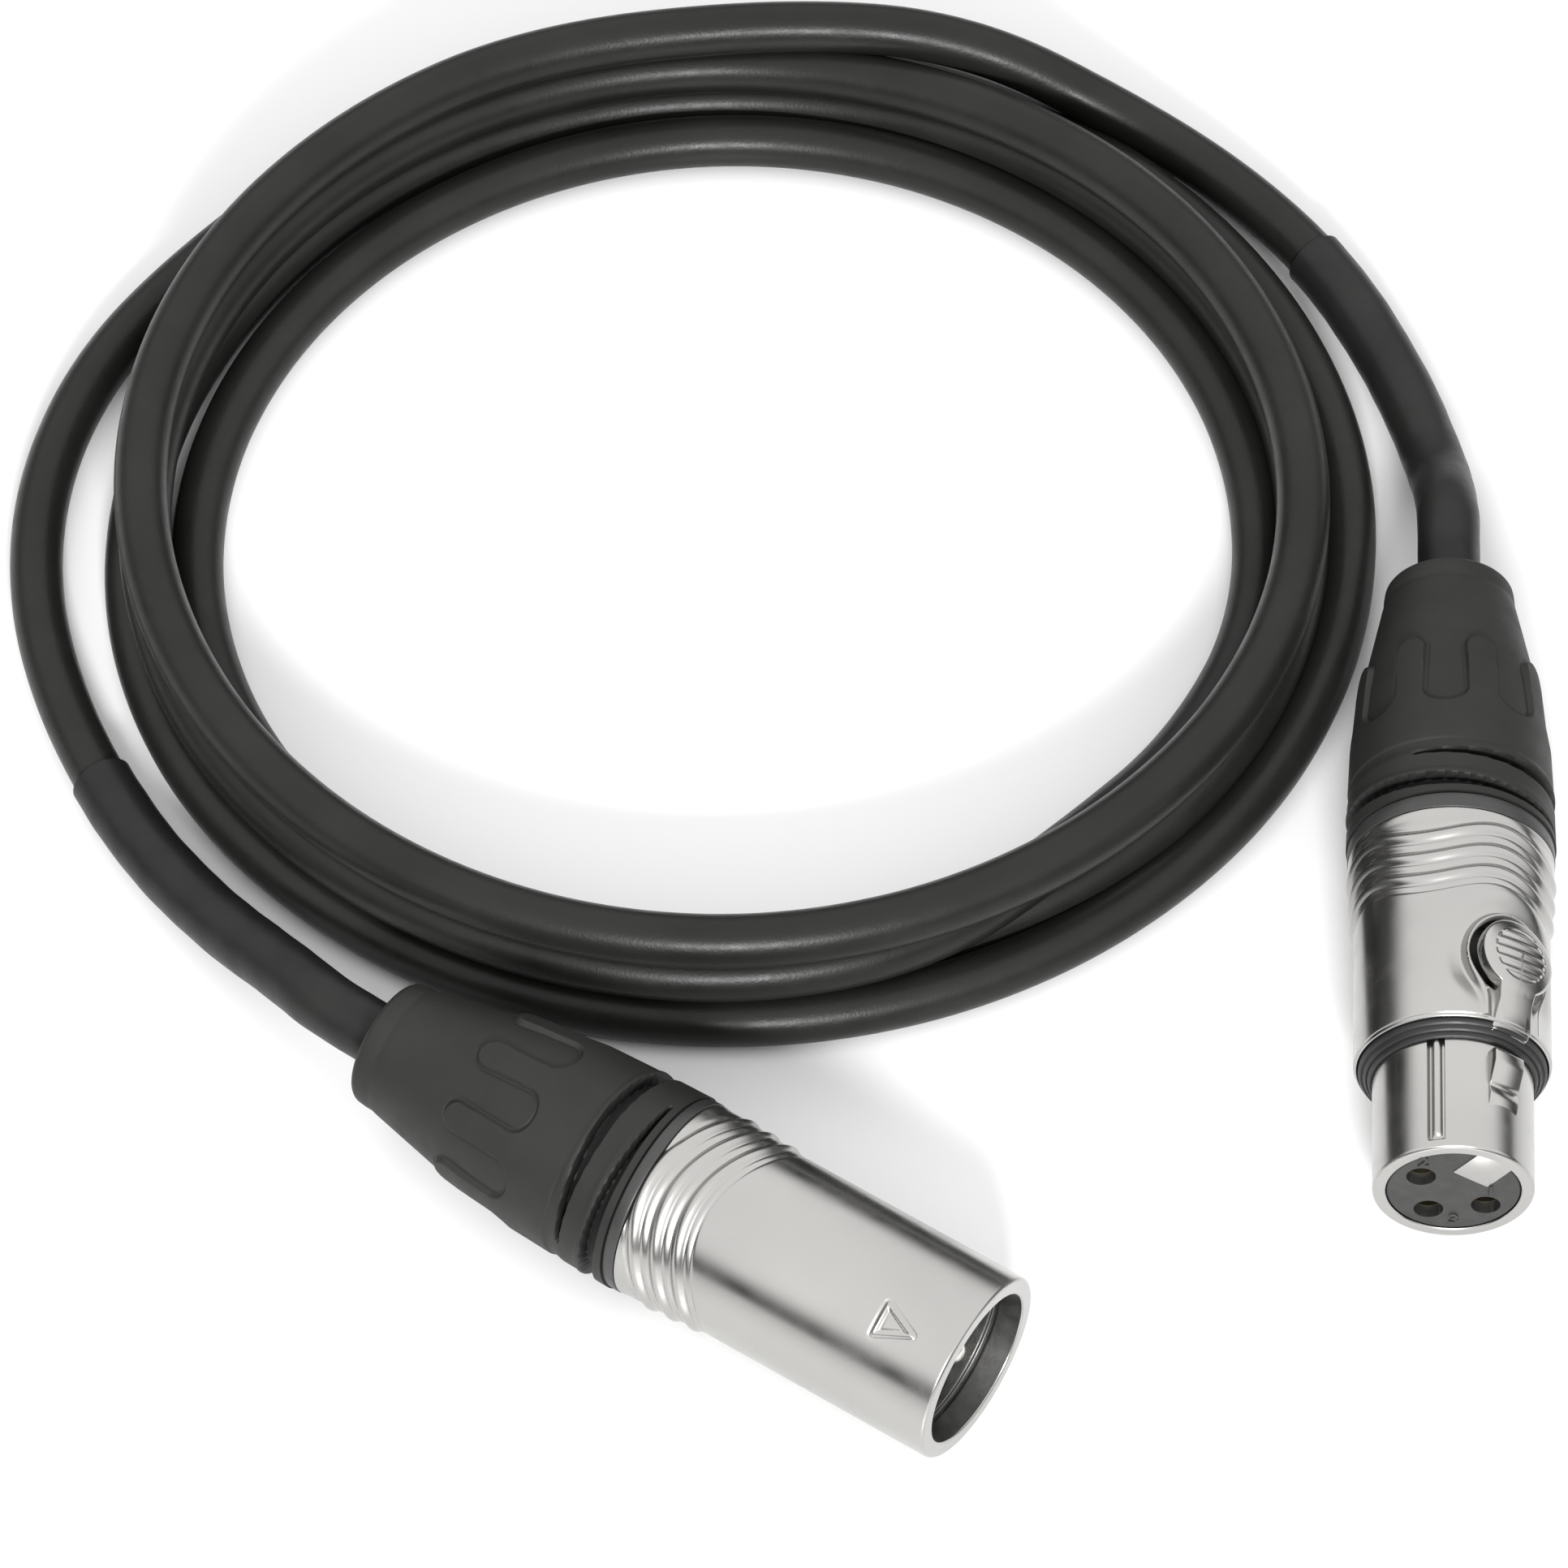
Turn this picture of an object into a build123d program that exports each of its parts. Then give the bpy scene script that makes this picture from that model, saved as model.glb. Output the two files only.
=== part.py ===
from build123d import *
import os
from math import cos, pi, radians, sin, tan

# A microphone cable: one coiled cord with a female and a male three-pole connector.
# The origin is the coil's centre on the floor, +Z is up, and both connectors lie on
# the floor on the -Y side.  All sizes are in millimetres.

# Cord
CABLE_R = 2.75
SLEEVE_R = 3.2
SLEEVE_BORE_R = 2.8
COIL_INNER_R = 51.9
COIL_OUTER_R = 66.8
COIL_HEIGHT = 16.2
COIL_EDGE_R = 5.0
ARC_SHARE = 0.45

# Connectors: heights are measured along the connector's axis from the shell's rear edge
AXIS_HEIGHT = 10.5
SHELL_R = 9.75
SHELL_REAR_R = 10.3
SHELL_BORE_R = 8.0
SPIGOT_R = 8.9
SPIGOT_LENGTH = 8.0
BARREL_R = 7.9
BARREL_BORE_R = 6.6
SHOULDER_Z = 25.1
SHOULDER_WALL = 1.5
FACE_Z = 39.3
MOUTH_Z = 35.2
LIP_GROOVE_Z = 31.9
LIP_GROOVE_LENGTH = 0.6
LIP_GROOVE_DEPTH = 0.4
SHELL_CHAMFER = 0.4
FACE_CHAMFER = 0.3
RING_HEIGHTS = (3.2, 5.2, 7.2)
RING_R = 10.15
RING_LENGTH = 1.2

# Contacts
CONTACT_CIRCLE_R = 4.0
THIRD_CONTACT_TURN = 181.0
PIN_R = 1.2
PIN_TIP_Z = 32.1
PIN_TIP_FILLET = 1.0
PIN_SHANK_R = 1.4
PIN_SHOULDER = 0.3
SOCKET_BORE_R = 1.22
SOCKET_R = 1.4
SOCKET_TIP_Z = 38.0
SOCKET_DEPTH = 15.0
CUP_Z = 1.0
CUP_DEPTH = 4.0
CUP_BORE_R = 0.85
CORE_R = 0.6
CORE_CENTRE_R = 1.3
CORE_BEND_R = 1.2
CORE_DEPTH = 2.5
JACKET_END_Z = -4.5

# Insulating inserts
INSERT_R = 7.9
INSERT_NOSE_R = 6.5
FEMALE_INSERT_Z = 6.0
MALE_INSERT_Z = 5.0
MALE_FLOOR_Z = 17.2
INSERT_STEP_Z = 23.4
INSERT_FACE_Z = 39.1
SLOT_HALF_WIDTH = 2.3
SLOT_FLOOR = 2.2

# Latch, in the plane that holds the axis: distance from the axis, then height
LATCH_ANGLE = 55.0
LATCH_HALF_WIDTH = 1.8
PIVOT = (5.3, 8.0)
PIVOT_PIN_R = 0.6
PIVOT_BORE_R = 0.65
PIVOT_HALF_LENGTH = 3.4
BUTTON_Z = 17.2
BUTTON_R = 4.2
BUTTON_BASE = 8.8
BUTTON_TOP = 10.9
LEVER_FLOOR = 4.6
LEVER_TOP = 6.1
LEVER_REAR_Z = 6.8
NECK_TOP = 9.4
NECK_START_Z = 14.4
NECK_END_Z = 24.6
TOOTH_END_Z = 34.6
TOOTH_OUTLINE = [(6.0, 28.3), (8.6, 28.3), (9.0, 29.2), (9.0, 31.4), (7.6, 34.6), (6.0, 34.6)]
SPRING_OUTLINE = [
    (4.58, 14.0), (4.58, 17.0), (4.33, 17.0), (4.33, 14.9), (2.55, 10.5), (2.8, 10.4)
]
SPRING_HALF_WIDTH = 1.4
WINDOW_Z = (27.9, 35.4)
OPENING_FLOOR = 6.0
OPENING_HALF_WIDTH = 2.1
WELL_FLOOR = 7.0
WELL_CLEARANCE = 0.5
KEY_Z = 35.6
KEY_FLOOR = 2.6
KEY_OVERLAP = 0.4
KEY_HALF_WIDTH = 2.15

# Rubber ring that the mating shell's lip closes on
SEAL_R = 9.35
SEAL_NOSE_R = 8.65
SEAL_LENGTH = 1.6

# Boot, gland nut and cable chuck
BOOT_R = 10.5
BOOT_BORE_R = 3.5
BOOT_FRONT_Z = -2.3
BOOT_TAIL_Z = -34.0
BOOT_TAPER = [
    (10.5, -4.0), (10.3, -8.0), (9.9, -14.0), (9.5, -19.0), (8.7, -22.0), (6.8, -31.0), (6.65, -33.0)
]
BOOT_TAIL_R = 6.05
NUT_R = 9.4
NUT_BORE_R = 9.0
NUT_FRONT_Z = -0.2
NUT_CONE_Z = -13.0
NUT_TAIL = (7.1, -17.0)
NUT_TAIL_BORE_R = 5.2
COLLAR_R = 10.3
COLLAR_Z = -2.2
CHUCK_R = 7.6
CHUCK_BORE_R = 3.0
CHUCK_REAR_Z = -5.0
CHUCK_CONE_Z = -9.0
CHUCK_TAIL = (4.9, -16.0)
CHUCK_SLITS = (0, 120, 240)
CHUCK_SLIT_HALF = 0.5
CHUCK_CLEARANCE = 0.35
GAP = 0.05
SLEEVE_START_Z = -26.0
CORD_START_Z = -32.0
CORD_EXIT_Z = -45.0

# Where each connector lies: the middle of its shell's rear edge, and the way it points
FEMALE_POSITION = (72.3, -46.54, AXIS_HEIGHT)
FEMALE_HEADING = -92.27
MALE_POSITION = (-5.09, -86.7, AXIS_HEIGHT)
MALE_HEADING = -33.49
MALE_KEY_ANGLE = 125.0

# Routes of the two free leads, from the run straight out of the boot to the coil
FEMALE_ROUTE = [
    (74.0, 12.0, 5.2),
    (68.2, 29.5, 3.2),
    (56.3, 45.8, 3.2),
    (42.5, 56.8, 5.0),
    (25.0, 60.6, 12.2),
    (4.4, 61.5, 13.2),
]
MALE_ROUTE = [
    (-51.4, -50.6, 6.4),
    (-58.6, -40.0, 3.4),
    (-68.1, -23.9, 3.2),
    (-72.4, 0.6, 2.8),
    (-69.8, 20.6, 2.8),
    (-57.0, 38.0, 2.8),
    (-40.5, 51.0, 2.8),
]
# The sleeve ends just past the middle of this run of each route
SLEEVE_RUN = 2
SLEEVE_SHARE = 0.55


def connector_plane(position, heading):
    """The plane of a connector's rear edge: z points ahead, x to the side and y up."""
    ahead = (cos(radians(heading)), sin(radians(heading)), 0)
    side = (-sin(radians(heading)), cos(radians(heading)), 0)
    return Plane(origin=position, x_dir=side, z_dir=ahead)


def axial_plane(plane, angle=0):
    """The plane that holds a connector's axis: x is outward at the angle, y along the axis."""
    outward = plane.x_dir * cos(radians(angle)) + plane.y_dir * sin(radians(angle))
    return Plane(origin=plane.origin, x_dir=outward, z_dir=outward.cross(plane.z_dir))


def along(plane, height, radius=0, angle=0):
    """A point at a height on a connector's axis, or at a radius and an angle from it."""
    return plane.from_local_coords(
        (radius * cos(radians(angle)), radius * sin(radians(angle)), height)
    )


def turned(plane, outline, mode=Mode.ADD):
    """Turn a closed outline of (radius, height) points about a connector's axis."""
    with BuildSketch(axial_plane(plane)) as profile:
        with BuildLine():
            Polyline(*outline, close=True)
        make_face()
    revolve(profile.sketch, axis=Axis(plane.origin, plane.z_dir), mode=mode)


def prism(plane, angle, outline, half_width, mode=Mode.ADD):
    """Extrude a closed outline of (distance from axis, height) points to both sides."""
    with BuildSketch(axial_plane(plane, angle)) as profile:
        with BuildLine():
            Polyline(*outline, close=True)
        make_face()
    extrude(profile.sketch, amount=half_width, both=True, mode=mode)


def block(near, far, low, high):
    """The outline of a rectangle between two distances from the axis and two heights."""
    return [(near, low), (far, low), (far, high), (near, high)]


def save(piece, name):
    """Label a finished piece and write it."""
    piece.part.label = name
    export_step(piece.part, f"parts/{name}.step")


def corner_radii(points):
    """Each corner's arc is as large as its two runs allow."""
    radii = []
    corners = [Vector(point) for point in points]
    for before, corner, after in zip(corners, corners[1:], corners[2:]):
        run_in = corner - before
        run_out = after - corner
        half_turn = radians(run_in.get_angle(run_out)) / 2
        radii.append(ARC_SHARE * min(run_in.length, run_out.length) / tan(half_turn))
    return radii


def swept(points, radii, outer_r, bore_r=0):
    """Sweep a round section along straight runs and tangent arcs, and return the length."""
    with BuildLine() as path:
        FilletPolyline(*points, radius=radii)
    line = path.wires()[0]
    with BuildSketch(Plane(origin=line @ 0, z_dir=line % 0)) as section:
        Circle(outer_r)
        if bore_r:
            Circle(bore_r, mode=Mode.SUBTRACT)
    sweep(section.sketch, path=line)
    return line.length


def cord_lead(plane, route, name):
    """The free lead between a connector and the coil, and the sleeve shrunk over it."""
    points = [along(plane, CORD_START_Z), along(plane, CORD_EXIT_Z), *route]
    radii = corner_radii(points)
    with BuildPart() as lead:
        length = swept(points, radii, CABLE_R)
    save(lead, f"{name}_lead")
    print(name, "lead", round(length, 1), "mm, arc radii", [round(r, 1) for r in radii])
    print("  volume", round(lead.part.volume), "of", round(pi * CABLE_R**2 * length))

    run_start, run_end = Vector(points[SLEEVE_RUN + 1]), Vector(points[SLEEVE_RUN + 2])
    sleeve_end = run_start + (run_end - run_start) * SLEEVE_SHARE
    covered = [along(plane, SLEEVE_START_Z), *points[1 : SLEEVE_RUN + 2], sleeve_end]
    with BuildPart() as sleeve:
        swept(covered, radii[: SLEEVE_RUN + 1], SLEEVE_R, SLEEVE_BORE_R)
    save(sleeve, f"{name}_lead_sleeve")


def shell_outline(front):
    """A shell's outline up to its rear body: threaded spigot, rear flange and three rings."""
    outline = [(SPIGOT_R, -SPIGOT_LENGTH), (SPIGOT_R, 0), (SHELL_REAR_R, 0)]
    for ring in RING_HEIGHTS:
        outline += [(RING_R, ring), (SHELL_R, ring + RING_LENGTH / 2)]
    outline += [(RING_R, RING_HEIGHTS[-1] + RING_LENGTH), (SHELL_R, RING_HEIGHTS[-1] + 2)]
    return outline + front


def boot_assembly(plane, name):
    """Soft boot over a hard gland nut, and the slotted chuck that grips the jacket."""
    with BuildPart() as boot:
        turned(plane, [
            (NUT_R + GAP, BOOT_FRONT_Z),
            (BOOT_R, BOOT_FRONT_Z),
            *BOOT_TAPER,
            (BOOT_TAIL_R, BOOT_TAIL_Z),
            (BOOT_BORE_R, BOOT_TAIL_Z),
            (BOOT_BORE_R, NUT_TAIL[1] - 2),
            (NUT_TAIL[0] + GAP, NUT_TAIL[1] - GAP),
            (NUT_R + GAP, NUT_CONE_Z),
        ])
    save(boot, f"{name}_boot")

    with BuildPart() as gland_nut:
        turned(plane, [
            (NUT_BORE_R, NUT_FRONT_Z),
            (COLLAR_R, NUT_FRONT_Z),
            (COLLAR_R, COLLAR_Z),
            (NUT_R, COLLAR_Z),
            (NUT_R, NUT_CONE_Z),
            NUT_TAIL,
            (NUT_TAIL_BORE_R, NUT_TAIL[1]),
            (CHUCK_R + CHUCK_CLEARANCE, CHUCK_CONE_Z),
            (NUT_BORE_R, CHUCK_CONE_Z + CHUCK_CLEARANCE),
        ])
    save(gland_nut, f"{name}_gland_nut")

    with BuildPart() as chuck:
        turned(plane, [
            (CHUCK_BORE_R, CHUCK_REAR_Z),
            (CHUCK_R, CHUCK_REAR_Z),
            (CHUCK_R, CHUCK_CONE_Z),
            CHUCK_TAIL,
            (CHUCK_BORE_R, CHUCK_TAIL[1]),
        ])
        for angle in CHUCK_SLITS:
            prism(
                plane, angle, block(0, CHUCK_R + 1, CHUCK_TAIL[1] - 1, CHUCK_CONE_Z + 2),
                CHUCK_SLIT_HALF, Mode.SUBTRACT,
            )
    save(chuck, f"{name}_cable_chuck")


def wiring(plane, angles, name):
    """The jacket's last straight stretch and the three stripped conductors."""
    with BuildPart() as jacket_end:
        with BuildSketch(plane.offset(CORD_START_Z)):
            Circle(CABLE_R)
        extrude(amount=JACKET_END_Z - CORD_START_Z)
    save(jacket_end, f"{name}_jacket_end")
    for core, angle in zip(("shield", "hot", "cold"), angles):
        bends = [
            along(plane, JACKET_END_Z, CORE_CENTRE_R, angle),
            along(plane, JACKET_END_Z + CORE_BEND_R, CORE_CENTRE_R, angle),
            along(plane, CUP_Z - CORE_BEND_R, CONTACT_CIRCLE_R, angle),
            along(plane, CUP_Z + CORE_DEPTH, CONTACT_CIRCLE_R, angle),
        ]
        with BuildPart() as conductor:
            swept(bends, [CORE_BEND_R, CORE_BEND_R], CORE_R)
        save(conductor, f"{name}_{core}_conductor")


os.makedirs("parts", exist_ok=True)
female = connector_plane(FEMALE_POSITION, FEMALE_HEADING)
male = connector_plane(MALE_POSITION, MALE_HEADING)
# Contacts 1 and 2 stand a quarter turn from the key, and contact 3 is nearly opposite it
female_angles = [LATCH_ANGLE - 90, LATCH_ANGLE + 90, LATCH_ANGLE + THIRD_CONTACT_TURN]
male_angles = [MALE_KEY_ANGLE + 90, MALE_KEY_ANGLE - 90, MALE_KEY_ANGLE - THIRD_CONTACT_TURN]

# Cord: the coil's outer shape, then both leads with their sleeves
with BuildPart() as cable_coil:
    with BuildSketch(Plane.XZ):
        with Locations(((COIL_INNER_R + COIL_OUTER_R) / 2, 0)):
            Rectangle(
                COIL_OUTER_R - COIL_INNER_R, COIL_HEIGHT, align=(Align.CENTER, Align.MIN)
            )
    revolve(axis=Axis.Z)
    fillet(cable_coil.faces().sort_by(Axis.Z)[-1].edges(), COIL_EDGE_R)
save(cable_coil, "cable_coil")
cord_lead(female, FEMALE_ROUTE, "female")
cord_lead(male, MALE_ROUTE, "male")

for connector, name in ((female, "female"), (male, "male")):
    boot_assembly(connector, name)
wiring(female, female_angles, "female")
wiring(male, male_angles, "male")

# Female shell: body, stepped-down barrel, key block, latch window, button well and neck slot
with BuildPart() as female_shell:
    turned(female, shell_outline([
        (SHELL_R, SHOULDER_Z - SHELL_CHAMFER),
        (SHELL_R - SHELL_CHAMFER, SHOULDER_Z),
        (BARREL_R, SHOULDER_Z),
        (BARREL_R, FACE_Z - FACE_CHAMFER),
        (BARREL_R - FACE_CHAMFER, FACE_Z),
        (BARREL_BORE_R, FACE_Z),
        (BARREL_BORE_R, SHOULDER_Z - SHOULDER_WALL),
        (SHELL_BORE_R, SHOULDER_Z - SHOULDER_WALL),
        (SHELL_BORE_R, -SPIGOT_LENGTH),
    ]))
    prism(
        female, LATCH_ANGLE, block(KEY_FLOOR, BARREL_BORE_R + KEY_OVERLAP, KEY_Z, FACE_Z), KEY_HALF_WIDTH
    )
    prism(
        female, LATCH_ANGLE, block(OPENING_FLOOR, BARREL_R + 1, *WINDOW_Z), OPENING_HALF_WIDTH,
        Mode.SUBTRACT,
    )
    prism(
        female, LATCH_ANGLE, block(OPENING_FLOOR, SHELL_R + 1, BUTTON_Z, SHOULDER_Z + 1),
        OPENING_HALF_WIDTH, Mode.SUBTRACT,
    )
    well = axial_plane(female, LATCH_ANGLE)
    with BuildSketch(Plane(origin=along(female, BUTTON_Z), z_dir=well.x_dir).offset(WELL_FLOOR)):
        Circle(BUTTON_R + WELL_CLEARANCE)
    extrude(amount=SHELL_R, mode=Mode.SUBTRACT)
save(female_shell, "female_shell")

# Rubber ring that the mating shell's lip closes on
with BuildPart() as seal_ring:
    turned(female, [
        (BARREL_R + GAP, SHOULDER_Z + GAP),
        (SEAL_R, SHOULDER_Z + GAP),
        (SEAL_R, SHOULDER_Z + SEAL_LENGTH / 2),
        (SEAL_NOSE_R, SHOULDER_Z + SEAL_LENGTH / 2),
        (SEAL_NOSE_R, SHOULDER_Z + SEAL_LENGTH),
        (BARREL_R + GAP, SHOULDER_Z + SEAL_LENGTH),
    ])
save(seal_ring, "seal_ring")

# Female insert, slotted along the latch's side
with BuildPart() as female_insert:
    turned(female, [
        (0, FEMALE_INSERT_Z),
        (INSERT_R, FEMALE_INSERT_Z),
        (INSERT_R, INSERT_STEP_Z),
        (INSERT_NOSE_R, INSERT_STEP_Z),
        (INSERT_NOSE_R, INSERT_FACE_Z),
        (0, INSERT_FACE_Z),
    ])
    prism(
        female, LATCH_ANGLE, block(SLOT_FLOOR, INSERT_R + 1, FEMALE_INSERT_Z - 1, FACE_Z),
        SLOT_HALF_WIDTH, Mode.SUBTRACT,
    )
    with BuildSketch(female.offset(FEMALE_INSERT_Z)):
        for angle in female_angles:
            with PolarLocations(CONTACT_CIRCLE_R, 1, angle):
                Circle(SOCKET_R + GAP)
    extrude(amount=FACE_Z, mode=Mode.SUBTRACT)
    prism(female, LATCH_ANGLE, [
        (PIVOT[0] - PIVOT_BORE_R, PIVOT[1] - PIVOT_BORE_R),
        (PIVOT[0] + PIVOT_BORE_R, PIVOT[1] - PIVOT_BORE_R),
        (PIVOT[0] + PIVOT_BORE_R, PIVOT[1] + PIVOT_BORE_R),
        (PIVOT[0] - PIVOT_BORE_R, PIVOT[1] + PIVOT_BORE_R),
    ], PIVOT_HALF_LENGTH + 4 * GAP, Mode.SUBTRACT)
save(female_insert, "female_insert")

# Male shell: open mouth with a snap groove behind its lip
with BuildPart() as male_shell:
    turned(male, shell_outline([
        (SHELL_R, MOUTH_Z - SHELL_CHAMFER),
        (SHELL_R - SHELL_CHAMFER, MOUTH_Z),
        (SHELL_BORE_R, MOUTH_Z),
        (SHELL_BORE_R, LIP_GROOVE_Z + LIP_GROOVE_LENGTH),
        (SHELL_BORE_R + LIP_GROOVE_DEPTH, LIP_GROOVE_Z + LIP_GROOVE_LENGTH),
        (SHELL_BORE_R + LIP_GROOVE_DEPTH, LIP_GROOVE_Z),
        (SHELL_BORE_R, LIP_GROOVE_Z),
        (SHELL_BORE_R, -SPIGOT_LENGTH),
    ]))
save(male_shell, "male_shell")

with BuildPart() as male_insert:
    with BuildSketch(male.offset(MALE_INSERT_Z)):
        Circle(INSERT_R)
        for angle in male_angles:
            with PolarLocations(CONTACT_CIRCLE_R, 1, angle):
                Circle(PIN_SHANK_R + GAP, mode=Mode.SUBTRACT)
    extrude(amount=MALE_FLOOR_Z - MALE_INSERT_Z)
save(male_insert, "male_insert")

# Contacts, each with a solder cup at its rear
for number, angle in enumerate(female_angles, 1):
    socket_plane = Plane(origin=along(female, 0, CONTACT_CIRCLE_R, angle), z_dir=female.z_dir)
    with BuildPart() as socket:
        turned(socket_plane, [
            (CUP_BORE_R, CUP_Z),
            (SOCKET_R, CUP_Z),
            (SOCKET_R, SOCKET_TIP_Z),
            (SOCKET_BORE_R, SOCKET_TIP_Z),
            (SOCKET_BORE_R, SOCKET_TIP_Z - SOCKET_DEPTH),
            (0, SOCKET_TIP_Z - SOCKET_DEPTH),
            (0, CUP_Z + CUP_DEPTH),
            (CUP_BORE_R, CUP_Z + CUP_DEPTH),
        ])
    save(socket, f"female_contact_{number}")

for number, angle in enumerate(male_angles, 1):
    pin_plane = Plane(origin=along(male, 0, CONTACT_CIRCLE_R, angle), z_dir=male.z_dir)
    with BuildPart() as pin:
        turned(pin_plane, [
            (CUP_BORE_R, CUP_Z),
            (PIN_SHANK_R, CUP_Z),
            (PIN_SHANK_R, MALE_FLOOR_Z + PIN_SHOULDER),
            (PIN_R, MALE_FLOOR_Z + PIN_SHOULDER),
            (PIN_R, PIN_TIP_Z),
            (0, PIN_TIP_Z),
            (0, CUP_Z + CUP_DEPTH),
            (CUP_BORE_R, CUP_Z + CUP_DEPTH),
        ])
        tip = pin.edges().filter_by(GeomType.CIRCLE).sort_by(Axis(male.origin, male.z_dir))[-1]
        fillet(tip, PIN_TIP_FILLET)
    save(pin, f"male_pin_{number}")

# Latch: lever with button, neck and tooth, its pivot pin and its leaf spring
with BuildPart() as latch_lever:
    prism(
        female, LATCH_ANGLE, block(LEVER_FLOOR, LEVER_TOP, LEVER_REAR_Z, TOOTH_END_Z), LATCH_HALF_WIDTH
    )
    prism(
        female, LATCH_ANGLE, block(LEVER_TOP, NECK_TOP, NECK_START_Z, NECK_END_Z), LATCH_HALF_WIDTH
    )
    prism(female, LATCH_ANGLE, TOOTH_OUTLINE, LATCH_HALF_WIDTH)
    with BuildSketch(Plane(origin=along(female, BUTTON_Z), z_dir=well.x_dir).offset(BUTTON_BASE)):
        Circle(BUTTON_R)
    extrude(amount=BUTTON_TOP - BUTTON_BASE)
    with BuildSketch(axial_plane(female, LATCH_ANGLE)):
        with Locations(PIVOT):
            Circle(PIVOT_BORE_R)
    extrude(amount=LATCH_HALF_WIDTH + 1, both=True, mode=Mode.SUBTRACT)
save(latch_lever, "latch_lever")

with BuildPart() as latch_pivot:
    with BuildSketch(axial_plane(female, LATCH_ANGLE)):
        with Locations(PIVOT):
            Circle(PIVOT_PIN_R)
    extrude(amount=PIVOT_HALF_LENGTH, both=True)
save(latch_pivot, "latch_pivot_pin")

with BuildPart() as latch_spring:
    prism(female, LATCH_ANGLE, SPRING_OUTLINE, SPRING_HALF_WIDTH)
save(latch_spring, "latch_spring")
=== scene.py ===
from math import cos, pi, radians, sin

import bpy
import numpy as np
from mathutils import Matrix, Vector


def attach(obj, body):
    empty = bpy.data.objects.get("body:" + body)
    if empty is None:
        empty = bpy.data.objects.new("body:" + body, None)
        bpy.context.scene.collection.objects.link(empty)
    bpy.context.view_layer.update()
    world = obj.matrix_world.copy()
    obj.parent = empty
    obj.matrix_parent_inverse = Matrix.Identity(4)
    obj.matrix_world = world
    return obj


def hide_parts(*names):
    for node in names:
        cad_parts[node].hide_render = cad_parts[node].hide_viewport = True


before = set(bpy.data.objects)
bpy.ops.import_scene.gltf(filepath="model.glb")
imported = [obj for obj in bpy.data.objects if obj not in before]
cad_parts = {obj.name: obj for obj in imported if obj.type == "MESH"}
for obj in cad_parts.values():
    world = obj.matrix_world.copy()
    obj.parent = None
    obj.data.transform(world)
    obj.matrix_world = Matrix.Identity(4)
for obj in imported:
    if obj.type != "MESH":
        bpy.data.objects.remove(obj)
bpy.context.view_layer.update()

# A coiled microphone cable with a female and a male connector.  Lengths are in millimetres
# up to the moment a piece is made, and MM turns them into Blender's metres.
MM = 0.001

# Cord
CABLE_R = 2.75
SLEEVE_R = 3.2
SLEEVE_WALL = 0.35

# Connectors, with heights measured along the axis from the shell's rear edge
FEMALE_POSITION = (72.3, -46.54, 10.5)
FEMALE_HEADING = -92.27
MALE_POSITION = (-5.09, -86.7, 10.5)
MALE_HEADING = -33.49
SHELL_R = 9.75
SHELL_BORE_R = 8.0
BARREL_R = 7.9
BARREL_BORE_R = 6.6
SPIGOT_R = 8.9
SHOULDER_Z = 25.1
FACE_Z = 39.3
MOUTH_Z = 35.2
BOOT_END_Z = -1.45
FEMALE_EDGE_Z = 0.5
MALE_EDGE_Z = 0.0
CONTACT_CIRCLE_R = 4.0
FEMALE_CONTACT_ANGLES = (-35.0, 145.0, 236.0)
CONTACT_HOLE_R = 1.45
LATCH_ANGLE = 55.0
BUTTON_Z = 17.2
BUTTON_R = 4.2
BUTTON_TOP = 11.05
NECK_HALF = 2.2
NOSE_END = 8.5
LEVER_HALF = 1.75
WELL_CLEARANCE = 0.45
WINDOW_Z = (27.3, 35.4)
KEYWAY_ANGLE = 105.5
SPIGOT_END_Z = -8
INSERT_REAR_Z = 6.0
INSERT_R = 7.85
INSERT_WAIST_R = 7.1
INSERT_WAIST_Z = (12.0, 23.4)
INSERT_NOSE_R = 6.52
INSERT_CORE_R = 0.4
SLOT_FLOOR = 2.4
SLOT_HALF = 2.28
ARROW_ANGLE = 120.5
MOUTH_NOTCH_ANGLE = 121
NUMBER_SIZE = 2.2
MALE_BOOT_TURN = 65

# How finely the pieces are turned about their axes
SHELL_SIDES = 600
BOOT_SIDES = 560
GASKET_SIDES = 240
PLAIN_SIDES = 160
SLEEVE_SIDES = 96
SHELL_SPACING = 0.09
BOOT_SPACING = 0.1

# Where the cord leaves each boot it runs straight, and then down to the floor
FEMALE_LEAD = [
    (74.1, -1.5, 10.2),
    (73.9, 7.5, 4.8),
    (70.6, 21.0, 3.2),
    (64.1, 35.6, 3.0),
    (55.2, 46.9, 3.1),
    (43.4, 56.0, 4.4),
    (25.2, 60.4, 13.2),
    (5.0, 61.9, 13.7),
]
MALE_LEAD = [
    (-43.4, -58.6, 8.6),
    (-51.6, -49.3, 5.0),
    (-60.2, -37.6, 3.0),
    (-67.8, -22.5, 2.9),
    (-71.9, -7.0, 2.75),
    (-71.6, 8.5, 2.75),
    (-66.7, 23.5, 2.75),
    (-57.6, 36.4, 2.75),
    (-44.3, 49.8, 2.75),
]
LEAD_RUN = (-30.0, -40.0)
SLEEVE_ENDS = ((61.6, 38.5, 3.1), (-63.8, -30.6, 3.0))
SLEEVE_START = -31.0

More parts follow.
